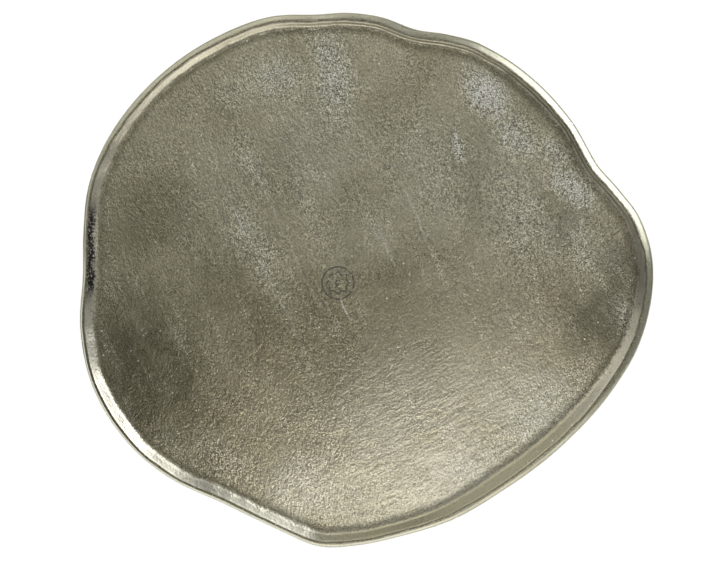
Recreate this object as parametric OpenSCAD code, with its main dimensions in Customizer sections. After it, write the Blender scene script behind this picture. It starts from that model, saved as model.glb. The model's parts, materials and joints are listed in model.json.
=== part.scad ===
// Sand-cast metal serving tray with a free-form outline and a raised, rounded rim, on stick-on pads.
// Origin: centre of the outline's bounding box, on the plane that the pads stand on. +Z is up.

/* [Outline] */
// Width of the tray across its outer edge, along X
tray_w = 400; // [300:1:560]
// Depth of the tray across its outer edge, along Y
tray_d = 373; // [280:1:520]

/* [Casting] */
// Thickness of the floor
floor_t = 3.5; // [2.5:0.1:4.5]
// Height of the rim's crest above the underside of the casting
rim_h = 8.5; // [8:0.5:24]
// Width in plan of the lip's sloping outer shoulder, on average around the tray
shoulder_w = 3.6; // [2:0.1:6]
// Height by which that shoulder rises to the crest
shoulder_rise = 2.3; // [0.5:0.1:3]
// Height of the upright edge under the shoulder, down to the widest line
edge_h = 1.5; // [0.5:0.1:2]
// Width of the narrow flat along the crest
crest_w = 0.5; // [0.3:0.1:2]
// Size of the rounding between the crest and the slope inside it
crest_r = 1; // [0.5:0.1:1.5]
// Width in plan of the slope inside the crest, down to the floor
slope_run = 4.6; // [4:0.1:12]
// Size of the cove between the slope and the floor
cove = 1.6; // [1:0.1:2.4]
// How far the outer wall leans out between the underside and the widest line
flare = 6; // [3:0.1:12]
// Size of the rounded corner under the outer wall
heel = 3; // [1:0.1:3.5]

/* [Uneven rim] */
// Extra width of the slope and the flare where the rim leans out most
lean = 4; // [0:0.1:8]
// Direction of that place, counted from +X towards +Y, in degrees
lean_dir = 320; // [0:1:359]
// How far the lean spreads to each side of that place, in degrees
lean_spread = 40; // [15:1:60]
// How much wider than its average the shoulder is where it is widest, and narrower opposite
sway = 1.6; // [0:0.1:1.8]
// Direction in which the shoulder is widest, in degrees
sway_dir = 40; // [0:1:359]

/* [Foot pads] */
// Number of pads under the tray
pad_count = 4; // [4:1:4]
// Diameter of a pad
pad_d = 20; // [12:0.5:28]
// Thickness of a pad
pad_t = 2.5; // [1.5:0.1:5]
// Bevel on the pad's lower edge
pad_bevel = 0.6; // [0.2:0.1:1]
// Distance from the tray's outer edge in to the centre of a pad
pad_inset = 44; // [34:1:70]
// Direction of the first pad, in degrees
pad_turn = 45; // [10:1:80]

/* [Fineness] */
// Number of stations between two points of the outline
steps = 5; // [3:1:6]
// Number of facets on each rounded corner of the rim's section
corner_steps = 3; // [2:1:4]

/* [Hidden] */

metal = [0.52, 0.5, 0.43];
rubber = [0.13, 0.13, 0.13];

// The free-form edge before it is sized: [direction in degrees, distance from the middle].
EDGE = [
    [3, 201], [13, 196.5], [20, 188], [27, 181], [38, 182.3], [64, 184], [72, 181.5], [79, 179.3],
    [87, 185], [94, 188], [101, 189.8], [110, 196.7], [120, 200], [135, 204], [151, 206.6],
    [161, 205.5], [170, 201], [179, 198.3], [189, 202.7], [201, 205.2], [214, 201.7], [224, 195.3],
    [236, 185.3], [245, 183.3], [252, 184.8], [260, 188.2], [268, 184.7], [278, 179.7],
    [290, 177.3], [304, 174.8], [321, 179.3], [335, 187.6], [348, 196.6]
];
EDGE_N = len(EDGE);

function turns(i) = 360 * floor(i / EDGE_N);
function wrap(i) = (i % EDGE_N + EDGE_N) % EDGE_N;
function edge_dir(i) = EDGE[wrap(i)][0] + turns(i);
function edge_reach(i) = EDGE[wrap(i)][1];
function edge_slope(i) = (edge_reach(i + 1) - edge_reach(i - 1)) / (edge_dir(i + 1) - edge_dir(i - 1));

// Smooth cubic between edge points i and i + 1, which keeps the slope through every point.
function cubic(a, b, sa, sb, t) =
    (2 * t^3 - 3 * t^2 + 1) * a + (t^3 - 2 * t^2 + t) * sa + (3 * t^2 - 2 * t^3) * b + (t^3 - t^2) * sb;
function reach_at(i, t) =
    let (span = edge_dir(i + 1) - edge_dir(i))
    cubic(edge_reach(i), edge_reach(i + 1), span * edge_slope(i), span * edge_slope(i + 1), t);
function free_point(i, t) =
    let (dir = edge_dir(i) + t * (edge_dir(i + 1) - edge_dir(i)))
    reach_at(i, t) * [cos(dir), sin(dir)];

FREE = [for (i = [0 : EDGE_N - 1]) for (s = [0 : steps - 1]) free_point(i, s / steps)];
FREE_X = [for (p = FREE) p[0]];
FREE_Y = [for (p = FREE) p[1]];
FREE_MID = [max(FREE_X) + min(FREE_X), max(FREE_Y) + min(FREE_Y)] / 2;
SIZING = [tray_w / (max(FREE_X) - min(FREE_X)), tray_d / (max(FREE_Y) - min(FREE_Y))];

// The outline at its real size, centred on the origin, counter-clockwise.
OUTLINE = [for (p = FREE) [(p[0] - FREE_MID[0]) * SIZING[0], (p[1] - FREE_MID[1]) * SIZING[1]]];
COUNT = len(OUTLINE);

function inward(i) =
    let (along = OUTLINE[(i + 1) % COUNT] - OUTLINE[(i + COUNT - 1) % COUNT])
    [-along[1], along[0]] / norm(along);
INWARD = [for (i = [0 : COUNT - 1]) inward(i)];

function dir_of(p) = (atan2(p[1], p[0]) + 360) % 360;
function off_lean(dir) = abs((dir - lean_dir + 540) % 360 - 180) / lean_spread;
LEAN = [for (p = OUTLINE) lean * exp(-off_lean(dir_of(p))^2)];
SWAY = [for (p = OUTLINE) sway * cos(dir_of(p) - sway_dir)];

// A rounded corner: a curve from a to b that leaves and arrives pointing at the corner c.
function rounded(a, c, b) =
    [for (s = [0 : corner_steps]) let (t = s / corner_steps) (1 - t)^2 * a + 2 * t * (1 - t) * c + t^2 * b];
function toward(from, to, distance) = from + distance * (to - from) / norm(to - from);

// The rim's section as [distance in from the outer edge, height above the underside].
CORNER_UNDER = [flare, 0];
CORNER_EDGE = [0, rim_h - shoulder_rise];
WIDEST = CORNER_EDGE - [0, edge_h];
CREST_OUT = [shoulder_w, rim_h];
CREST_IN = CREST_OUT + [crest_w, 0];
CORNER_SLOPE = CREST_IN + [crest_r, 0];
CORNER_FLOOR = [CORNER_SLOPE[0] + slope_run, floor_t];
HEEL_CURVE = rounded(CORNER_UNDER + [heel, 0], CORNER_UNDER, toward(CORNER_UNDER, WIDEST, heel));
EDGE_CURVE = rounded(WIDEST, CORNER_EDGE, toward(CORNER_EDGE, CREST_OUT, edge_h));
CREST_CURVE = rounded(CREST_IN, CORNER_SLOPE, toward(CORNER_SLOPE, CORNER_FLOOR, crest_r));
COVE_CURVE = rounded(toward(CORNER_FLOOR, CORNER_SLOPE, cove), CORNER_FLOOR, CORNER_FLOOR + [cove, 0]);

// Each point gets its share of the lean, which moves the foot of the wall, and of the sway, which
// moves the crest and is shared out along the shoulder.
function at_foot(curve) = [for (p = curve) [p[0], p[1], 1, 0]];
function on_shoulder(curve) = [for (p = curve) [p[0], p[1], 0, p[0] / shoulder_w]];
function at_crest(curve) = [for (p = curve) [p[0], p[1], 0, 1]];
OUTSIDE = concat(at_foot(HEEL_CURVE), on_shoulder(EDGE_CURVE), at_crest([CREST_OUT]));
INSIDE = concat(at_crest([CREST_IN + [0, 1]]), at_crest(CREST_CURVE), at_foot(COVE_CURVE));

function ring_point(section_point, i) =
    let (offset = section_point[0] + section_point[2] * LEAN[i] + section_point[3] * SWAY[i])
    let (at = OUTLINE[i] + offset * INWARD[i])
    [at[0], at[1], section_point[1]];

// A solid between flat ends whose side passes through a ring of points for each point of the section.
module lofted(section) {
    rings = len(section);
    first_middle = rings * COUNT;
    last_middle = first_middle + 1;
    ring_points = [for (p = section) for (i = [0 : COUNT - 1]) ring_point(p, i)];
    middles = [[0, 0, section[0][1]], [0, 0, section[rings - 1][1]]];
    side = [
        for (r = [0 : rings - 2]) for (i = [0 : COUNT - 1])
            let (a = r * COUNT + i, b = r * COUNT + (i + 1) % COUNT)
            each [[a, a + COUNT, b + COUNT], [a, b + COUNT, b]]
    ];
    first_end = [for (i = [0 : COUNT - 1]) [first_middle, i, (i + 1) % COUNT]];
    last_start = (rings - 1) * COUNT;
    last_end = [for (i = [0 : COUNT - 1]) [last_middle, last_start + (i + 1) % COUNT, last_start + i]];
    polyhedron(
        points = concat(ring_points, middles),
        faces = concat(side, first_end, last_end),
        convexity = 4
    );
}

function upside_down(section) = [for (k = [1 : len(section)]) section[len(section) - k]];

// How far the outer edge is from the origin in a direction.
REACHES = concat(
    [for (p = OUTLINE) [dir_of(p) - 360, norm(p)]],
    [for (p = OUTLINE) [dir_of(p), norm(p)]],
    [for (p = OUTLINE) [dir_of(p) + 360, norm(p)]]
);
function pad_dir(k) = pad_turn + (k - 1) * 360 / pad_count;
function pad_reach(k) = lookup(pad_dir(k), REACHES) - pad_inset;

// One casting: the outer shape less the recess, which leaves the lip, slope, cove and flat floor.
module tray() {
    color(metal)
    translate([0, 0, pad_t])
    difference() {
        lofted(OUTSIDE);
        lofted(upside_down(INSIDE));
    }
}

// Stick-on pad number k, standing on the resting plane with its flat top against the underside.
module foot_pad(k) {
    color(rubber)
    rotate([0, 0, pad_dir(k)])
    translate([pad_reach(k), 0, 0])
    rotate_extrude($fn = 64)
    polygon([[0, 0], [pad_d / 2 - pad_bevel, 0], [pad_d / 2, pad_bevel], [pad_d / 2, pad_t], [0, pad_t]]);
}

tray();
foot_pad(1);  // foot_pad_1
foot_pad(2);  // foot_pad_2
foot_pad(3);  // foot_pad_3
foot_pad(4);  // foot_pad_4
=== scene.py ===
"""A sand-cast metal serving tray on rubber pads, on a pale floor, seen from straight above."""
import json
import math
from types import SimpleNamespace

import bpy
import numpy as np
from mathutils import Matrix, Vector, noise
from mathutils.geometry import delaunay_2d_cdt


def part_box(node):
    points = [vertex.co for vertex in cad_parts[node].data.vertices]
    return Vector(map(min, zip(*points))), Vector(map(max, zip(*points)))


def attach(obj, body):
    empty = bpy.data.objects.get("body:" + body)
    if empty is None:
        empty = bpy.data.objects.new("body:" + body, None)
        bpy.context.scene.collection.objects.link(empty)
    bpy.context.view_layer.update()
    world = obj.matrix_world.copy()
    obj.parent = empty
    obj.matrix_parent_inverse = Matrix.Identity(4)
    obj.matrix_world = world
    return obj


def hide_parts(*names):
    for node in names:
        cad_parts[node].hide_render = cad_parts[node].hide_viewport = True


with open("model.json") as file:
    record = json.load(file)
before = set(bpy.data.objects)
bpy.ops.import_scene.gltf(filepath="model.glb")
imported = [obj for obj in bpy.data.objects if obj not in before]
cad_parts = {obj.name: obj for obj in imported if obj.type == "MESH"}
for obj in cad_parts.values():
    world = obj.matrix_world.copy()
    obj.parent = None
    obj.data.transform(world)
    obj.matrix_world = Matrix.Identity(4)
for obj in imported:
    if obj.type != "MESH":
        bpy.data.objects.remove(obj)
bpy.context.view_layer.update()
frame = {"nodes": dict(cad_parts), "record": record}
TRAY_LOW, TRAY_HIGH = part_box("tray")

# ---------------------------------------------------------------- sizes, in metres
MM = 0.001
MOUNTS = {m["name"]: m for m in frame["record"]["mounts"]}
UNDER_Z = TRAY_LOW.z
CREST_Z = TRAY_HIGH.z
FLOOR_Z = MOUNTS["serving_face"]["pos_m"][2]

# The rim's section, as in the CAD casting but with a softer cove and a rounded brow.
SHOULDER_W = 3.6 * MM
SHOULDER_RISE = 2.3 * MM
EDGE_H = 1.5 * MM
BROW_R = 0.7 * MM
CREST_W = 0.5 * MM
CREST_GAP = 0.1 * MM
CREST_R = 1.0 * MM
SLOPE_RUN = 4.6 * MM
COVE = 2.4 * MM
FLARE = 6.0 * MM
HEEL = 3.0 * MM
CREST_IN = SHOULDER_W + CREST_W
SLOPE_AT = CREST_IN + CREST_R
WIDEST_Z = CREST_Z - SHOULDER_RISE - EDGE_H

# How the section changes around the tray.
LEAN = 4.0 * MM
LEAN_DIR = math.radians(320)
LEAN_SPREAD = math.radians(40)
SWAY = 1.6 * MM
SWAY_DIR = math.radians(40)

# Fineness of the meshes.
RIM_STATIONS = 800
CURVE_STEPS = 12
NORMAL_REACH = 3
FLOOR_CELL = 1.45 * MM
UNDER_CELL = 7.0 * MM
PAD_TURNS = 72


# ---------------------------------------------------------------- outline, from the CAD casting
SAME_HEIGHT = 0.02 * MM


def cad_outline():
    """The widest ring of points of the CAD casting, counter-clockwise."""
    points = np.array([v.co for v in frame["nodes"]["tray"].data.vertices])
    widest_z = points[points[:, 0].argmax(), 2]
    ring = points[np.abs(points[:, 2] - widest_z) < SAME_HEIGHT][:, :2]
    ring = np.unique(np.round(ring, 6), axis=0)
    return ring[np.argsort(np.arctan2(ring[:, 1], ring[:, 0]))]


def closed_curve(points, count):
    """Points at equal steps along a smooth closed curve through the given ones."""
    t = np.linspace(0, 1, CURVE_STEPS, endpoint=False)[None, :, None]
    before, here = np.roll(points, 1, 0)[:, None], points[:, None]
    after, beyond = np.roll(points, -1, 0)[:, None], np.roll(points, -2, 0)[:, None]
    curve = 0.5 * (
        2 * here
        + (after - before) * t
        + (2 * before - 5 * here + 4 * after - beyond) * t**2
        + (3 * here - before - 3 * after + beyond) * t**3
    )
    curve = curve.reshape(-1, 2)
    loop = np.vstack([curve, curve[:1]])
    length = np.concatenate([[0], np.cumsum(np.linalg.norm(np.diff(loop, axis=0), axis=1))])
    wanted = np.linspace(0, length[-1], count, endpoint=False)
    return np.stack([np.interp(wanted, length, loop[:, k]) for k in (0, 1)], axis=1)


def inward_normals(points):
    """Unit vectors that point in from a counter-clockwise curve."""
    along = np.roll(points, -NORMAL_REACH, 0) - np.roll(points, NORMAL_REACH, 0)
    normals = np.stack([-along[:, 1], along[:, 0]], axis=1)
    return normals / np.linalg.norm(normals, axis=1)[:, None]


OUTLINE = closed_curve(cad_outline(), RIM_STATIONS)
INWARD = inward_normals(OUTLINE)
DIRECTION = np.arctan2(OUTLINE[:, 1], OUTLINE[:, 0])


# ---------------------------------------------------------------- the casting's unevenness
# The floor is a shallow dome: its height in the middle, and its drop at a distance from there.
DOME_TOP = 0.15 * MM
DOME_DROP = 0.35 * MM
DOME_R = 170 * MM
# Waves: [height, length, seed, octaves].
FLOOR_WAVES = (
    (0.30 * MM, 95 * MM, 3.1, 2),
    (0.13 * MM, 28 * MM, 7.7, 2),
    (0.045 * MM, 8 * MM, 11.3, 3),
)
CREST_WAVES = ((0.60 * MM, 45 * MM, 21.0, 2), (0.15 * MM, 12 * MM, 23.0, 3))
FOOT_WAVES = ((0.90 * MM, 38 * MM, 33.0, 3), (0.12 * MM, 6 * MM, 27.0, 3))
# The rim sinks by this much, more or less along waves, from one height up over a run.
SINK = 0.3 * MM
SINK_WAVE = 80 * MM
SINK_SEED = 25.0
SINK_FROM = 4 * MM
SINK_RUN = 6 * MM
# Places with long ridges: [x, y, radius, height, direction in degrees, squeeze, wave, seed].
RIDGES = (
    (90 * MM, -115 * MM, 48 * MM, 0.16 * MM, -60, 0.25, 6 * MM, 14.2),
    (-70 * MM, -108 * MM, 42 * MM, 0.13 * MM, 50, 0.35, 7 * MM, 16.8),
)
WAVE_FALL = 0.8
WAVE_STEP = 2.2


def waves(points, length, seed, octaves=2):
    """Smooth random heights from about -1 to 1, with waves of the given length, at 2D points."""
    scale = 1 / length
    return np.array([
        noise.fractal(Vector((x * scale, y * scale, seed)), WAVE_FALL, WAVE_STEP, octaves)
        for x, y in points
    ])


def unevenness(points, table):
    """The sum of a table of waves at 2D points."""
    return sum(height * waves(points, *wave) for height, *wave in table)


def bump_at(points, centre, radius, height):
    """A smooth round rise on the floor."""
    away = points - np.array(centre)
    return height * np.exp(-((away / radius) ** 2).sum(axis=1))


def turned(points, angle, squeeze):
    """The points turned by an angle and squeezed along the new Y, so that waves there run long."""
    c, s = math.cos(angle), math.sin(angle)
    across = points[:, 0] * c + points[:, 1] * s
    along = points[:, 1] * c - points[:, 0] * s
    return np.stack([across, along * squeeze], axis=1)


def floor_relief(points):
    """Height of the casting's dome, swells and ridges at 2D points of the floor."""
    away = np.linalg.norm(points, axis=1)
    relief = DOME_TOP - DOME_DROP * (away / DOME_R) ** 2 + unevenness(points, FLOOR_WAVES)
    for x, y, radius, height, direction, squeeze, length, seed in RIDGES:
        ridges = waves(turned(points, math.radians(direction), squeeze), length, seed)
        relief = relief + bump_at(points, (x, y), radius, height) * ridges
    return relief


# ---------------------------------------------------------------- section of the rim
def rounded(a, c, b, count):
    """A curve of count points from a to b that leaves and arrives pointing at the corner c."""
    t = np.linspace(0, 1, count)[:, None]
    a, c, b = (np.array(p, float) for p in (a, c, b))
    return (1 - t) ** 2 * a + 2 * t * (1 - t) * c + t**2 * b


def toward(start, end, distance):
    start, end = np.array(start, float), np.array(end, float)
    return start + distance * (end - start) / np.linalg.norm(end - start)


def between(start, end, count):
    """Points at equal steps from start to end, without either."""
    start, end = np.array(start, float), np.array(end, float)
    return [start + (end - start) * k / (count + 1) for k in range(1, count + 1)]


def rim_section():
    """Rows of (distance in, height above the underside, share of lean, share of sway).

    The second result is the number of the first row above the widest line.
    """
    crest = CREST_Z - UNDER_Z
    ground = FLOOR_Z - UNDER_Z
    under = (FLARE, 0)
    corner = (0, crest - SHOULDER_RISE)
    widest = (0, corner[1] - EDGE_H)
    brow = (SHOULDER_W, crest)
    slope = (SLOPE_AT, crest)
    foot = (SLOPE_AT + SLOPE_RUN, ground)
    heel = rounded((FLARE + HEEL, 0), under, toward(under, widest, HEEL), 5)
    wall = between(heel[-1], widest, 4)
    edge = rounded(widest, corner, toward(corner, brow, EDGE_H), 6)
    lip = rounded(toward(brow, corner, BROW_R), brow, (CREST_IN, crest), 4)
    shoulder = between(edge[-1], lip[0], 3)
    inner = rounded((CREST_IN + CREST_GAP, crest), slope, toward(slope, foot, CREST_R), 5)
    cove = rounded(toward(foot, slope, COVE), foot, (foot[0] + COVE, ground), 8)
    band = between(inner[-1], cove[0], 4)
    top = inner[-1][0]
    run = cove[0][0] - top
    rows = [(*p, 1, 0) for p in heel]
    rows += [(*p, p[0] / FLARE, 0) for p in wall]
    rows += [(*p, 0, p[0] / SHOULDER_W) for p in (*edge, *shoulder)]
    rows += [(*p, 0, min(1, p[0] / SHOULDER_W)) for p in lip]
    rows += [(*p, 0, 1) for p in inner]
    rows += [(*p, (p[0] - top) / run, 1 - (p[0] - top) / run) for p in band]
    rows += [(*p, 1, 0) for p in cove]
    return np.array(rows), len(heel) + len(wall)


def leaning(direction):
    """How far the foot of the rim leans out in a direction."""
    away = (direction - LEAN_DIR + math.pi) % (2 * math.pi) - math.pi
    return LEAN * np.exp(-(away / LEAN_SPREAD) ** 2)


def rim_grid():
    """Points of the rim, [row of the section, station], and each row's plain distance in."""
    section, top_start = rim_section()
    plain, high, lean_share, sway_share = (section[:, k:k + 1] for k in range(4))
    inset = plain + lean_share * leaning(DIRECTION)
    inset = inset + sway_share * SWAY * np.cos(DIRECTION - SWAY_DIR)
    top = (np.arange(len(section)) >= top_start)[:, None]
    crest_share = top * np.clip(plain / CREST_IN, 0, 1)
    foot_share = top * np.clip((plain - SLOPE_AT) / SLOPE_RUN, 0, 1)
    inset = inset + crest_share * unevenness(OUTLINE, CREST_WAVES)
    inset = inset + foot_share * unevenness(OUTLINE, FOOT_WAVES)
    rise = np.clip((high - SINK_FROM) / SINK_RUN, 0, 1)
    height = high - rise * SINK * (1 + waves(OUTLINE, SINK_WAVE, SINK_SEED))

    at = OUTLINE[None] + inset[..., None] * INWARD[None]
    grid = np.dstack([at, UNDER_Z + height])
    for row in np.nonzero(foot_share[:, 0] > 0)[0]:
        grid[row, :, 2] += foot_share[row, 0] * floor_relief(grid[row, :, :2])
    return grid, np.repeat(plain, RIM_STATIONS, axis=1)


# ---------------------------------------------------------------- meshes
LATTICE_GAP = 0.75
INSIDE_ONLY = 1
SAME_POINT = 1e-7
BATCH = 4000


def lattice_inside(ring, cell):
    """Points of a triangular lattice inside a ring of points, about a cell clear of it."""
    angle = np.arctan2(ring[:, 1], ring[:, 0])
    order = np.argsort(angle)
    reach = np.linalg.norm(ring, axis=1)
    low, high = ring.min(0), ring.max(0)
    rows = np.arange(low[1], high[1], cell * math.sqrt(0.75))
    points = []
    for k, y in enumerate(rows):
        x = np.arange(low[0] + (k % 2) * cell / 2, high[0], cell)
        points.append(np.stack([x, np.full(len(x), y)], axis=1))
    points = np.vstack(points)
    around = np.arctan2(points[:, 1], points[:, 0])
    edge = np.interp(around, angle[order], reach[order], period=2 * math.pi)
    return points[np.linalg.norm(points, axis=1) < edge - LATTICE_GAP * cell]


def disc_mesh(ring, cell):
    """Flat points and triangles that fill a ring: first the ring's own points, then the lattice."""
    points = np.vstack([ring, lattice_inside(ring, cell)])
    count = len(ring)
    edges = [(i, (i + 1) % count) for i in range(count)]
    flat = [Vector((float(x), float(y))) for x, y in points]
    verts, _, faces, _, _, _ = delaunay_2d_cdt(flat, edges, [], INSIDE_ONLY, SAME_POINT)
    return np.array([(v.x, v.y) for v in verts]), [list(f) for f in faces]


def make_mesh(name, points, faces):
    mesh = bpy.data.meshes.new(name)
    mesh.from_pydata([tuple(p) for p in points], [], faces)
    mesh.update()
    mesh.shade_smooth()
    piece = bpy.data.objects.new(name, mesh)
    bpy.context.scene.collection.objects.link(piece)
    return piece


def edge_distance(points):
    """How far in from the outline each 2D point lies, less the rim's lean there."""
    result = np.empty(len(points))
    for start in range(0, len(points), BATCH):
        part = points[start:start + BATCH]
        square = (part[:, :1] - OUTLINE[:, 0]) ** 2 + (part[:, 1:2] - OUTLINE[:, 1]) ** 2
        result[start:start + BATCH] = np.sqrt(square.min(1))
    return result - leaning(np.arctan2(points[:, 1], points[:, 0]))


def cast_tray():
    """The casting as one closed mesh, with how far in from the edge each point lies."""
    grid, inset = rim_grid()
    rows, stations = grid.shape[:2]
    points = [grid.reshape(-1, 3)]
    insets = [inset.reshape(-1)]
    index = np.arange(rows * stations).reshape(rows, stations)
    faces = []
    for r in range(rows - 1):
        a, b = index[r], np.roll(index[r], -1)
        c, d = np.roll(index[r + 1], -1), index[r + 1]
        faces += np.stack([a, b, c, d], axis=1).tolist()
    used = rows * stations

    for row, cell, upward in ((rows - 1, FLOOR_CELL, True), (0, UNDER_CELL, False)):
        flat, triangles = disc_mesh(grid[row, :, :2], cell)
        inner = flat[stations:]
        height = FLOOR_Z + floor_relief(inner) if upward else np.full(len(inner), UNDER_Z)
        points.append(np.column_stack([inner, height]))
        insets.append(edge_distance(inner))
        names = np.concatenate([index[row], used + np.arange(len(inner))])
        order = (0, 1, 2) if upward else (0, 2, 1)
        faces += [[int(names[t[k]]) for k in order] for t in triangles]
        used += len(inner)

    piece = make_mesh("cast_tray", np.vstack(points), faces)
    attribute = piece.data.attributes.new("inset", "FLOAT", "POINT")
    attribute.data.foreach_set("value", (np.concatenate(insets) / MM).astype(np.float32))
    return piece


def pad_profile(radius, height):
    """Section of a pad as (distance out, height), from the middle of its underside to its top's."""
    return [
        (0.0, 0.25 * MM), (0.35 * radius, 0.25 * MM), (0.45 * radius, 0.22 * MM),
        (0.50 * radius, 0.05 * MM), (0.53 * radius, 0.0), (0.60 * radius, 0.0),
        (0.63 * radius, 0.05 * MM), (0.67 * radius, 0.2 * MM), (0.72 * radius, 0.2 * MM),
        (0.76 * radius, 0.05 * MM), (0.80 * radius, 0.0), (radius - 0.8 * MM, 0.0),
        (radius - 0.35 * MM, 0.08 * MM), (radius - 0.1 * MM, 0.3 * MM), (radius, 0.7 * MM),
        (radius, height - 0.25 * MM), (radius - 0.08 * MM, height - 0.06 * MM),
        (radius - 0.25 * MM, height), (0.6 * radius, height), (0.0, height),
    ]


def rubber_pad(name, node):
    """A turned rubber pad with a rounded lower edge, a shallow dish and a moulded ring underneath."""
    low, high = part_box(node)
    centre = (low + high) / 2
    first, *middle, last = pad_profile((high.x - low.x) / 2, high.z - low.z)
    points = []
    for r, z in middle:
        for k in range(PAD_TURNS):
            a = 2 * math.pi * k / PAD_TURNS
            points.append((centre.x + r * math.cos(a), centre.y + r * math.sin(a), low.z + z))
    bottom, top = len(points), len(points) + 1
    points += [(centre.x, centre.y, low.z + first[1]), (centre.x, centre.y, low.z + last[1])]

    faces = []
    start = (len(middle) - 1) * PAD_TURNS
    for k in range(PAD_TURNS):
        n = (k + 1) % PAD_TURNS
        for ring in range(0, start, PAD_TURNS):
            above = ring + PAD_TURNS
            faces.append([ring + k, ring + n, above + n, above + k])
        faces.append([bottom, n, k])
        faces.append([top, start + k, start + n])
    return make_mesh(name, points, faces)


# ---------------------------------------------------------------- node helpers
class Nodes:
    """Short calls for building one material's node tree."""

    def __init__(self, name):
        self.material = bpy.data.materials.new(name)
        self.material.use_nodes = True
        self.tree = self.material.node_tree
        self.shader = self.tree.nodes["Principled BSDF"]

    def link(self, value, socket):
        if isinstance(value, bpy.types.NodeSocket):
            self.tree.links.new(value, socket)
        else:
            socket.default_value = value

    def add(self, kind, **settings):
        node = self.tree.nodes.new(kind)
        for key, value in settings.items():
            setattr(node, key, value)
        return node

    def math(self, operation, a, b=0.0):
        node = self.add("ShaderNodeMath", operation=operation)
        for socket, value in zip(node.inputs, (a, b)):
            self.link(value, socket)
        return node.outputs[0]

    def plus(self, a, b):
        return self.math("ADD", a, b)

    def minus(self, a, b):
        return self.math("SUBTRACT", a, b)

    def times(self, *values):
        result = values[0]
        for value in values[1:]:
            result = self.math("MULTIPLY", result, value)
        return result

    def less(self, value, share):
        """1 less a share of the value."""
        return self.minus(1.0, self.times(value, share))

    def length(self, u, v):
        return self.math("SQRT", self.plus(self.math("POWER", u, 2.0), self.math("POWER", v, 2.0)))

    def ramp(self, value, low, high, out_low=0.0, out_high=1.0):
        """value from low to high becomes out_low to out_high, eased at both ends."""
        node = self.add("ShaderNodeMapRange", interpolation_type="SMOOTHSTEP")
        for socket, given in zip(node.inputs, (value, low, high, out_low, out_high)):
            self.link(given, socket)
        return node.outputs[0]

    def swing(self, value, low, high):
        """A noise value made to swing from -1 to 1, with most of it at either end."""
        return self.ramp(value, low, high, -1.0, 1.0)

    def mix(self, share, a, b):
        """Colour a where the share is 0 and b where it is 1. A plain colour is three numbers."""
        node = self.add("ShaderNodeMix", data_type="RGBA")
        self.link(share, node.inputs[0])
        for socket, colour in ((node.inputs[6], a), (node.inputs[7], b)):
            self.link((*colour, 1) if isinstance(colour, tuple) else colour, socket)
        return node.outputs[2]

    def scaled(self, colour, factor):
        node = self.add("ShaderNodeVectorMath", operation="SCALE")
        self.link(colour, node.inputs[0])
        self.link(factor, node.inputs["Scale"])
        return node.outputs[0]

    def coords(self, rotation=0.0, stretch=(1, 1, 1), offset=(0, 0, 0)):
        source = self.add("ShaderNodeTexCoord").outputs["Object"]
        placed = self.add("ShaderNodeMapping")
        self.link(source, placed.inputs["Vector"])
        placed.inputs["Rotation"].default_value = (0, 0, rotation)
        placed.inputs["Location"].default_value = offset
        stretched = self.add("ShaderNodeMapping")
        self.link(placed.outputs[0], stretched.inputs["Vector"])
        stretched.inputs["Scale"].default_value = stretch
        return stretched.outputs[0]

    def noise(self, size, coords=None, detail=3.0, roughness=0.55):
        """Cloudy values around 0.5 with features of about the given size in metres."""
        node = self.add("ShaderNodeTexNoise")
        self.link(coords if coords is not None else self.coords(), node.inputs["Vector"])
        node.inputs["Scale"].default_value = 1 / size
        node.inputs["Detail"].default_value = detail
        node.inputs["Roughness"].default_value = roughness
        return node.outputs["Fac"]

    def cells(self, size, coords=None):
        """Distance to the nearest of many scattered points, as a share of their spacing."""
        node = self.add("ShaderNodeTexVoronoi", feature="F1")
        self.link(coords if coords is not None else self.coords(), node.inputs["Vector"])
        node.inputs["Scale"].default_value = 1 / size
        return node.outputs["Distance"]

    def position(self):
        split = self.add("ShaderNodeSeparateXYZ")
        self.link(self.add("ShaderNodeTexCoord").outputs["Object"], split.inputs[0])
        return split.outputs

    def offsets(self, origin):
        """Distances along X and Y from a point of the tray."""
        x, y, _ = self.position()
        return self.minus(x, origin[0]), self.minus(y, origin[1])

    def along_across(self, origin, cos, sin, stretch=1.0):
        """Distances along a direction, less where it is stretched, and across it."""
        u, v = self.offsets(origin)
        along = self.plus(self.times(u, cos / stretch), self.times(v, sin / stretch))
        return along, self.minus(self.times(v, cos), self.times(u, sin))

    def bump(self, height, depth, before=None):
        """A bump whose height of 1 stands depth metres above a height of 0."""
        node = self.add("ShaderNodeBump")
        node.inputs["Strength"].default_value = 1.0
        node.inputs["Distance"].default_value = depth
        self.link(height, node.inputs["Height"])
        if before is not None:
            self.link(before, node.inputs["Normal"])
        return node.outputs[0]


def patch(n, x, y, radius, softness=0.6, angle=0, stretch=1.0):
    """1 inside a round or oval patch, 0 outside it. In millimetres and degrees."""
    angle = math.radians(angle)
    away = n.length(*n.along_across((x * MM, y * MM), math.cos(angle), math.sin(angle), stretch))
    radius = radius * MM
    return n.ramp(away, radius * (1 - softness), radius * (1 + softness), 1.0, 0.0)


SCRATCH_WAVE = 22 * MM
SCRATCH_BEND = 6 * MM


def scratch(n, start, end, width):
    """1 along a light, slightly bent scratch that fades out towards both ends. In millimetres."""
    start, end = ([value * MM for value in point] for point in (start, end))
    width = width * MM
    length = math.hypot(end[0] - start[0], end[1] - start[1])
    cos, sin = (end[0] - start[0]) / length, (end[1] - start[1]) / length
    along, across = n.along_across(start, cos, sin)
    bend = n.times(n.minus(n.noise(SCRATCH_WAVE, detail=2.0), 0.5), SCRATCH_BEND)
    across = n.math("ABSOLUTE", n.plus(across, bend))
    return n.times(
        n.ramp(across, width, 0.2 * width),
        n.ramp(along, -0.1 * length, 0.2 * length),
        n.ramp(along, 1.1 * length, 0.7 * length),
    )


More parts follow.
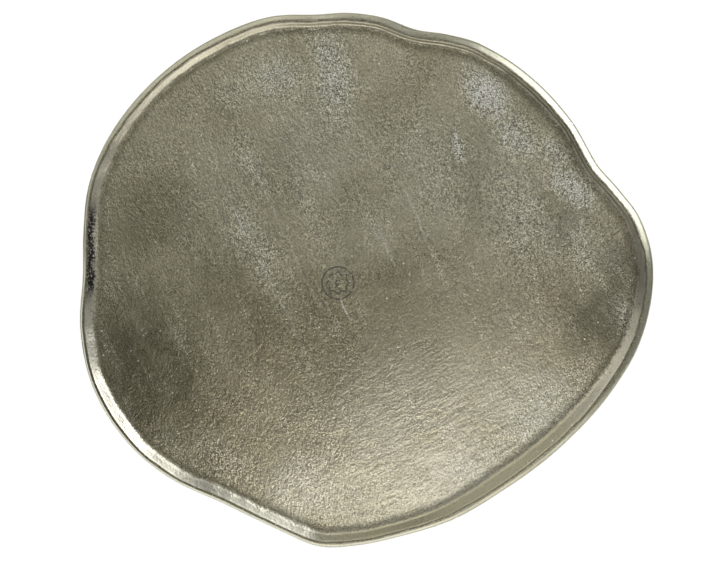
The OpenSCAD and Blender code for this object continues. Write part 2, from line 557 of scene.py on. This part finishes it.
# ---------------------------------------------------------------- the stamp
STAMP_AT = (-20 * MM, -2 * MM)
STAMP_Z = (5 * MM, 5.5 * MM)
# Radius and width of each line.
RING_LINE = (11.2 * MM, 1.3 * MM)
STAR_LINE = (5.6 * MM, 1.25 * MM)
CIRCLE_LINE = (1.7 * MM, 1.2 * MM)
INK = (0.02, 0.02, 0.017)


def stamp_mask(n):
    """Ink of a ring with an eight-pointed star and a small circle in it, all in fine lines."""
    u, v = n.offsets(STAMP_AT)
    away = n.length(u, v)
    u, v = n.math("ABSOLUTE", u), n.math("ABSOLUTE", v)
    square = n.math("MAXIMUM", u, v)
    diamond = n.times(n.plus(u, v), math.sqrt(0.5))
    star = n.math("MINIMUM", square, diamond)
    ink = 0.0
    for distance, (size, width) in ((away, RING_LINE), (star, STAR_LINE), (away, CIRCLE_LINE)):
        off = n.math("ABSOLUTE", n.minus(distance, size))
        ink = n.math("MAXIMUM", ink, n.ramp(off, width * 0.45, width * 0.75, 1.0, 0.0))
    worn = n.ramp(n.noise(2.2 * MM, detail=2.0), 0.30, 0.44, 0.55, 1.0)
    return n.times(ink, worn, n.ramp(n.position()[2], *STAMP_Z))


# ---------------------------------------------------------------- the cast metal
STREAK_ANGLE = math.radians(-25)
WRINKLE_ANGLE = math.radians(-27)
UPPER_Z = (3.4 * MM, 4.2 * MM)

# Limits of the rim's bands, in millimetres in from the edge: where a mask is 0 and where it is 1.
EDGE_END = (1.5, 0.6)
LEFT_EDGE_END = (2.2, 1.0)
SHOULDER_END = (4.0, 3.4)
CREST_AT = 4.6
CREST_WIDTH = (0.8, 0.35)
SLOPE_START, SLOPE_END = (4.5, 5.1), (11.0, 7.5)
SOOT_START, SOOT_END = (4.6, 5.4), (8.8, 7.2)
CREASE_START, CREASE_END = (8.5, 10.5), (16.0, 11.0)
SHADE_START, SHADE_END = (9.6, 10.4), (21.0, 12.0)

# Where on the tray a look applies, in millimetres from its centre: [x, y, radius, softness].
SHADE_PLACE = (138, 105, 82, 0.6)
SOOT_PLACE = (-195, 20, 32, 0.3)
LEFT_EDGE_PLACE = (-195, 0, 75, 0.4)
FRONT_PLACE = (75, -165, 105, 0.3)
BRUSHED_PLACE = (-98, -152, 62, 0.4)
WRINKLED_PLACE = (55, -100, 78, 0.6)

TONE_DARK = (0.45, 0.42, 0.295)
TONE_LIGHT = (0.55, 0.52, 0.385)
TONE_BLOTCH = (0.38, 0.355, 0.235)
TONE_SILVER = (1.0, 0.985, 0.89)
TONE_SCRATCH = (0.92, 0.92, 0.86)
TONE_DOT = (0.95, 0.95, 0.90)
TONE_PIT = (0.10, 0.10, 0.08)

# Toned places on the floor, in millimetres from its centre: [x, y, radius, share, colour]. The light
# ones are painted highlights, the darkest painted shade, the rest the metal's uneven tone.
PATCHES = (
    (8, -58, 54, 0.78, (0.32, 0.30, 0.20)),
    (-116, -7, 34, 0.35, (0.34, 0.32, 0.215)),
    (86, -14, 24, 0.45, (0.34, 0.32, 0.215)),
    (-55, -30, 34, 0.35, (0.36, 0.335, 0.225)),
    (-158, -70, 48, 0.85, (0.20, 0.185, 0.125)),
    (-172, -24, 26, 0.35, (0.26, 0.24, 0.165)),
    (-180, -57, 20, 0.5, (0.20, 0.185, 0.125)),
    (-118, -138, 15, 0.4, (0.24, 0.225, 0.15)),
    (-165, 36, 30, 0.25, (0.36, 0.33, 0.23)),
    (162, -30, 24, 0.85, (0.20, 0.19, 0.14)),
    (186, 6, 24, 0.75, (0.24, 0.23, 0.175)),
    (138, 36, 15, 0.70, (0.27, 0.255, 0.18)),
    (84, 131, 11, 0.40, (0.92, 0.91, 0.83)),
    (45, 138, 24, 0.20, (0.38, 0.35, 0.235)),
    (-52, 152, 20, 0.4, (0.36, 0.33, 0.21)),
    (45, -138, 84, 0.65, (0.86, 0.84, 0.72)),
    (66, -146, 30, 0.35, (0.98, 0.96, 0.86)),
    (-46, -147, 22, 0.55, (0.90, 0.88, 0.77)),
    (95, -112, 20, 0.60, (0.52, 0.50, 0.38)),
    (70, 62, 58, 0.35, (0.70, 0.68, 0.57)),
    (-32, 94, 34, 0.45, (0.70, 0.68, 0.57)),
    (150, 22, 26, 0.25, (0.74, 0.72, 0.62)),
    (-6, 30, 24, 0.35, (0.72, 0.70, 0.58)),
    (108, -30, 20, 0.35, (0.72, 0.70, 0.58)),
    (114, -84, 26, 0.40, (0.86, 0.85, 0.75)),
    (-100, 60, 34, 0.18, (0.70, 0.68, 0.57)),
)
# Places with painted glints, where the grain catches the light, in millimetres and degrees:
# [x, y, radius, share, angle, stretch].
SILVER = (
    (-24, 146, 13, 0.75, -80, 2.2),
    (-62, 142, 15, 0.60, 0, 1.4),
    (-92, 130, 12, 0.40, 0, 1.0),
    (-84, 86, 9, 0.30, -63, 3.0),
    (-76, 20, 12, 0.40, -60, 3.6),
    (-38, 40, 10, 0.22, -72, 3.4),
    (84, 130, 12, 1.00, -50, 1.6),
    (104, 100, 12, 0.60, -50, 1.8),
    (136, 84, 8, 0.55, -50, 2.5),
    (145, 64, 11, 1.0, -40, 1.6),
    (160, 30, 9, 0.2, -60, 2.0),
    (182, -28, 6, 0.6, -75, 2.5),
    (150, 24, 10, 0.45, -80, 2.0),
    (64, 92, 3.5, 0.8, -75, 3.0),
    (128, -92, 16, 0.60, 42, 2.2),
    (84, -128, 12, 0.40, 28, 2.2),
    (-130, -120, 8, 0.2, -42, 3.0),
    (-96, -128, 12, 0.35, -35, 2.0),
    (40, 82, 16, 0.30, -60, 2.0),
    (112, 40, 22, 0.40, -70, 1.8),
)
SILVER_SOFTNESS = 0.8
# Light scratches, in millimetres: [start x, start y, end x, end y, width, share].
SCRATCHES = (
    (-92, 50, -84, 30, 0.9, 0.9),
    (-78, 77, -26, -35, 1.8, 0.22),
    (-84, 34, -40, -58, 2.0, 0.18),
    (-19, -12, -11, -30, 0.8, 0.8),
    (28, 62, 44, 22, 1.4, 0.35),
    (8, 40, 22, 4, 1.5, 0.30),
    (62, 104, 66, 84, 1.3, 0.75),
)
# Depth of the bumps for a change of 1 in their noise.
COARSE_DEPTH = 0.20 * MM
SMALL_DEPTH = 0.24 * MM


def casting_noises(n):
    """The noises that colour, roughness and relief share."""
    flow = n.coords(rotation=STREAK_ANGLE, stretch=(1, 0.7, 1))
    streaky = n.coords(rotation=STREAK_ANGLE, stretch=(1, 0.12, 1))
    folded = n.coords(rotation=WRINKLE_ANGLE, stretch=(0.3, 1, 1))
    return SimpleNamespace(
        clouds=n.noise(55 * MM, detail=4.0),
        blotches=n.noise(15 * MM, detail=4.0, roughness=0.6),
        streaks=n.noise(6 * MM, streaky, detail=3.0),
        fine_streaks=n.noise(1.6 * MM, streaky, detail=2.0),
        grain=n.noise(1.3 * MM, flow, detail=2.0, roughness=0.6),
        fine=n.noise(0.8 * MM, detail=0.0),
        peel=n.noise(2.6 * MM, flow, detail=2.0),
        wrinkles=n.noise(3.0 * MM, folded, detail=3.0),
    )


def casting_masks(n):
    """The bands of the rim and the places on the tray that have a look of their own."""
    inset = n.add("ShaderNodeAttribute", attribute_name="inset").outputs["Fac"]
    upper = n.ramp(n.position()[2], *UPPER_Z)
    ragged = n.plus(n.times(n.noise(9 * MM, detail=3.0), 3.4),
                    n.times(n.noise(1.5 * MM, detail=2.0, roughness=0.7), 5.0))
    edge = n.plus(inset, n.minus(ragged, 4.2))
    line = n.plus(inset, n.times(n.minus(n.noise(12 * MM, detail=2.0), 0.5), 2.0))
    gaps = n.ramp(n.noise(1.3 * MM, detail=2.0), 0.66, 0.56)

    m = SimpleNamespace()
    m.slope = n.times(n.ramp(line, *SLOPE_START), n.ramp(edge, *SLOPE_END), upper)
    m.shoulder = n.times(n.ramp(inset, *SHOULDER_END), upper)
    m.polished = n.math("MAXIMUM", m.slope, m.shoulder)
    # Painted shade in the cove where the slope meets the floor.
    m.crease = n.times(n.ramp(edge, *CREASE_START), n.ramp(edge, *CREASE_END), upper)
    m.shade = n.times(n.ramp(edge, *SHADE_START), n.ramp(edge, *SHADE_END),
                      patch(n, *SHADE_PLACE), upper)
    # Painted shade: a dark band along the outer edge.
    m.rim_edge = n.ramp(inset, *EDGE_END)
    # Painted shade: the left edge darkened nearly to black.
    m.left_edge = n.times(n.ramp(inset, *LEFT_EDGE_END), patch(n, *LEFT_EDGE_PLACE))
    # Painted shade: a dark line along the crest's inner edge.
    m.crest = n.times(n.ramp(n.math("ABSOLUTE", n.minus(line, CREST_AT)), *CREST_WIDTH), upper)
    # Painted dark reflection: broken near-black patches on the left slope.
    m.soot = n.times(patch(n, *SOOT_PLACE), n.ramp(edge, *SOOT_START), n.ramp(edge, *SOOT_END), gaps)
    # Painted reflection: a warmer, darker tone on the front slope.
    m.front_wall = n.times(patch(n, *FRONT_PLACE), m.slope)
    # Painted reflection: a slightly darker tone on the slope at the lower left.
    m.brushed = n.times(patch(n, *BRUSHED_PLACE), m.slope)
    m.wrinkled = patch(n, *WRINKLED_PLACE)
    return m


def silvery(n, streaks):
    """How much glint is painted into the metal's colour, and how much stronger its grain is there,
    from 0 to 1.
    """
    silver = n.ramp(streaks, 0.52, 0.76, 0.0, 0.4)
    for x, y, radius, share, angle, stretch in SILVER:
        place = patch(n, x, y, radius, SILVER_SOFTNESS, angle, stretch)
        silver = n.math("MAXIMUM", silver, n.times(place, share))
    return silver


def metal_colour(n, cast, m, silver):
    tone = n.mix(n.ramp(cast.clouds, 0.35, 0.65), TONE_DARK, TONE_LIGHT)
    # Painted highlights and shade on the floor, mixed with its uneven tone.
    for x, y, radius, share, colour in PATCHES:
        uneven = n.ramp(cast.blotches, 0.25, 0.6, 0.5 * share, share)
        tone = n.mix(n.times(patch(n, x, y, radius), uneven), tone, colour)
    # Painted glints: silvery-white flecks in the grain at the glint places.
    sparkle = n.times(n.ramp(cast.grain, 0.38, 0.60, 0.40, 1.0),
                      n.ramp(cast.fine, 0.42, 0.60, 0.15, 1.0))
    tone = n.mix(n.times(silver, sparkle), tone, TONE_SILVER)
    tone = n.mix(n.ramp(cast.blotches, 0.5, 0.75, 0.0, 0.4), tone, TONE_BLOTCH)
    for x0, y0, x1, y1, width, share in SCRATCHES:
        mark = scratch(n, (x0, y0), (x1, y1), width)
        tone = n.mix(n.times(mark, share), tone, TONE_SCRATCH)
    for mask, share, colour in (
        (m.slope, 1.0, (0.70, 0.68, 0.575)),
        (m.shoulder, 1.0, (0.56, 0.55, 0.44)),
        # painted reflection on the front slope
        (m.front_wall, 0.8, (0.54, 0.515, 0.35)),
        # painted reflection on the slope at the lower left
        (m.brushed, 0.5, (0.60, 0.585, 0.49)),
        # painted shade in the cove
        (m.crease, 0.55, (0.17, 0.16, 0.115)),
        (m.shade, 0.22, (0.20, 0.19, 0.135)),
        # painted shade along the outer edge
        (m.rim_edge, 0.8, (0.17, 0.165, 0.12)),
        # painted shade on the left edge
        (m.left_edge, 0.85, (0.05, 0.05, 0.035)),
        # painted shade line along the crest
        (m.crest, 0.6, (0.13, 0.125, 0.09)),
        # painted dark reflection on the left slope
        (m.soot, 0.95, (0.012, 0.012, 0.015)),
    ):
        tone = n.mix(n.times(mask, share), tone, colour)

    texture = n.plus(n.times(n.swing(cast.grain, 0.38, 0.62), 0.13),
                     n.times(n.swing(cast.fine, 0.36, 0.64), 0.19))
    strength = n.plus(n.ramp(n.noise(24 * MM, detail=3.0), 0.35, 0.65, 1.4, 0.7),
                      n.times(silver, 1.2))
    strength = n.times(strength, n.less(m.wrinkled, 0.35), n.less(m.polished, 0.7))
    tone = n.scaled(tone, n.plus(1.0, n.times(texture, strength)))
    # Painted glints: scattered tiny white specks.
    dots = n.cells(7.5 * MM)
    pits = n.cells(6.0 * MM, n.coords(offset=(0.3, 0.2, 0.1)))
    tone = n.mix(n.ramp(dots, 0.10, 0.06, 0.0, 0.9), tone, TONE_DOT)
    return n.mix(n.ramp(pits, 0.10, 0.07, 0.0, 0.6), tone, TONE_PIT)


def metal_roughness(n, cast, m):
    rough = n.ramp(cast.clouds, 0.3, 0.7, 0.29, 0.36)
    rough = n.minus(rough, n.ramp(cast.fine_streaks, 0.55, 0.8, 0.0, 0.06))
    rough = n.plus(rough, n.times(m.crease, 0.12))
    return n.minus(rough, n.times(m.polished, 0.01))


def metal_relief(n, cast, m, silver):
    """Wrinkles and orange peel with the finer grain on top, both weaker on the polished rim."""
    rough_cast = n.less(m.polished, 0.6)
    folds = n.times(n.minus(cast.wrinkles, 0.5), n.times(m.wrinkled, 1.5))
    coarse = n.times(n.minus(cast.peel, 0.5), n.less(m.wrinkled, 0.7))
    coarse = n.bump(n.times(n.plus(coarse, folds), rough_cast), COARSE_DEPTH)
    small = n.plus(n.minus(cast.grain, 0.5), n.times(n.minus(cast.fine_streaks, 0.5), 0.35))
    small = n.times(small, rough_cast, n.plus(1.0, silver))
    return n.bump(small, SMALL_DEPTH, coarse)


def cast_metal():
    n = Nodes("cast_metal")
    cast = casting_noises(n)
    m = casting_masks(n)
    silver = silvery(n, cast.streaks)
    ink = stamp_mask(n)
    tone = metal_colour(n, cast, m, silver)
    bare = n.minus(1.0, ink)
    n.link(n.mix(n.times(ink, 0.92), tone, INK), n.shader.inputs["Base Color"])
    n.link(bare, n.shader.inputs["Metallic"])
    n.link(n.times(bare, 0.5), n.shader.inputs["Specular IOR Level"])
    n.link(metal_roughness(n, cast, m), n.shader.inputs["Roughness"])
    n.link(metal_relief(n, cast, m, silver), n.shader.inputs["Normal"])
    return n.material


# ---------------------------------------------------------------- other materials
RUBBER, RUBBER_DUST = (0.018, 0.018, 0.019), (0.06, 0.058, 0.054)
PAINT_DARK, PAINT_LIGHT = (0.86, 0.86, 0.85), (0.90, 0.90, 0.89)


def pad_rubber():
    n = Nodes("pad_rubber")
    dust = n.noise(5 * MM, detail=4.0)
    n.link(n.mix(n.ramp(dust, 0.45, 0.7, 0.0, 0.5), RUBBER, RUBBER_DUST),
           n.shader.inputs["Base Color"])
    n.link(n.ramp(dust, 0.3, 0.7, 0.55, 0.75), n.shader.inputs["Roughness"])
    n.link(n.bump(n.noise(0.4 * MM, detail=2.0), 0.03 * MM), n.shader.inputs["Normal"])
    return n.material


def floor_paint():
    n = Nodes("floor_paint")
    n.link(n.mix(n.noise(0.4, detail=3.0), PAINT_DARK, PAINT_LIGHT), n.shader.inputs["Base Color"])
    n.shader.inputs["Roughness"].default_value = 0.85
    n.shader.inputs["Specular IOR Level"].default_value = 0.0
    return n.material


# ---------------------------------------------------------------- studio
# Soft lights, placed by compass direction (0 is +X, 90 is +Y) and height in degrees:
# [name, direction, elevation, distance, width, height, power, colour].
WHITE = (1.0, 1.0, 1.0)
CREAM = (1.0, 0.96, 0.87)
LIGHTS = (
    ("key", 38, 24, 1.6, 1.2, 0.9, 10.5, WHITE),
    ("front_fill", 291, 10, 1.6, 4.2, 0.55, 10.5, CREAM),
    ("left_fill", 125, 20, 1.6, 1.5, 0.9, 2.8, CREAM),
    ("left_high", 146, 43, 1.6, 1.1, 0.4, 0.9, CREAM),
    ("back_fill", 90, 13, 1.6, 0.9, 0.6, 1.7, CREAM),
    ("corner_fill", 222, 16, 1.6, 1.2, 0.6, 0.7, WHITE),
    ("overhead_front", 286, 68, 1.5, 0.9, 0.40, 2.3, CREAM),
    ("overhead_back", 92, 68, 1.5, 1.1, 0.35, 1.15, WHITE),
)
FLOOR_LIGHT = ("floor_light", 90, 89, 2.5, 3.0, 3.0, 125, WHITE)
WORLD_COLOUR = (0.97, 0.96, 0.90, 1)
WORLD_LIGHT = 0.165
FLOOR_HALF = 20.0


def softbox(name, azimuth, elevation, distance, width, height, power, colour, lights_floor=False):
    """An area light that the camera can't see, aimed at the tray.

    The metal mirrors it, or else, where lights_floor is set, it only lights what is not mirror-like.
    """
    light = bpy.data.lights.new(name, "AREA")
    light.shape = "RECTANGLE"
    light.size = width
    light.size_y = height
    light.energy = power
    light.color = colour
    piece = bpy.data.objects.new(name, light)
    bpy.context.scene.collection.objects.link(piece)
    a, e = math.radians(azimuth), math.radians(elevation)
    toward_light = Vector((math.cos(e) * math.cos(a), math.cos(e) * math.sin(a), math.sin(e)))
    piece.location = distance * toward_light
    piece.rotation_euler = (-piece.location).to_track_quat("-Z", "Y").to_euler()
    piece.visible_camera = False
    piece.visible_glossy = not lights_floor
    piece.visible_diffuse = lights_floor


def studio():
    for light in LIGHTS:
        softbox(*light)
    softbox(*FLOOR_LIGHT, lights_floor=True)

    world = bpy.data.worlds.new("studio")
    bpy.context.scene.world = world
    world.use_nodes = True
    background = world.node_tree.nodes["Background"]
    background.inputs["Color"].default_value = WORLD_COLOUR
    background.inputs["Strength"].default_value = WORLD_LIGHT


def pale_floor():
    corners = [(x * FLOOR_HALF, y * FLOOR_HALF, 0) for x, y in ((-1, -1), (1, -1), (1, 1), (-1, 1))]
    floor = make_mesh("pale_floor", corners, [[0, 1, 2, 3]])
    floor.data.materials.append(floor_paint())


# Shares of the frame's width: the tray's own, and how far its middle is off the frame's.
TRAY_IN_FRAME = 573 / 708
RIGHT_OF_MIDDLE = 0.0178
ABOVE_MIDDLE = 0.0042
CAMERA_Z = 1.0
SENSOR_W = 36.0


def camera():
    """Straight above the tray, which fills its share of the frame a little off the middle."""
    lens = bpy.data.cameras.new("camera")
    piece = bpy.data.objects.new("camera", lens)
    bpy.context.scene.collection.objects.link(piece)
    view_w = (TRAY_HIGH.x - TRAY_LOW.x) / TRAY_IN_FRAME
    lens.sensor_width = SENSOR_W
    lens.lens = SENSOR_W * (CAMERA_Z - WIDEST_Z) / view_w
    lens.clip_start = 0.01
    piece.location = (-RIGHT_OF_MIDDLE * view_w, -ABOVE_MIDDLE * view_w, CAMERA_Z)
    piece.rotation_euler = (0, 0, 0)
    bpy.context.scene.camera = piece


# ---------------------------------------------------------------- putting it together
camera()
studio()
pale_floor()

tray = cast_tray()
tray.data.materials.append(cast_metal())
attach(tray, "root")
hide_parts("tray")

rubber = pad_rubber()
for k in range(1, 5):
    pad = rubber_pad(f"rubber_pad_{k}", f"foot_pad_{k}")
    pad.data.materials.append(rubber)
    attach(pad, "root")
    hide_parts(f"foot_pad_{k}")

bpy.context.scene.view_settings.view_transform = "Standard"
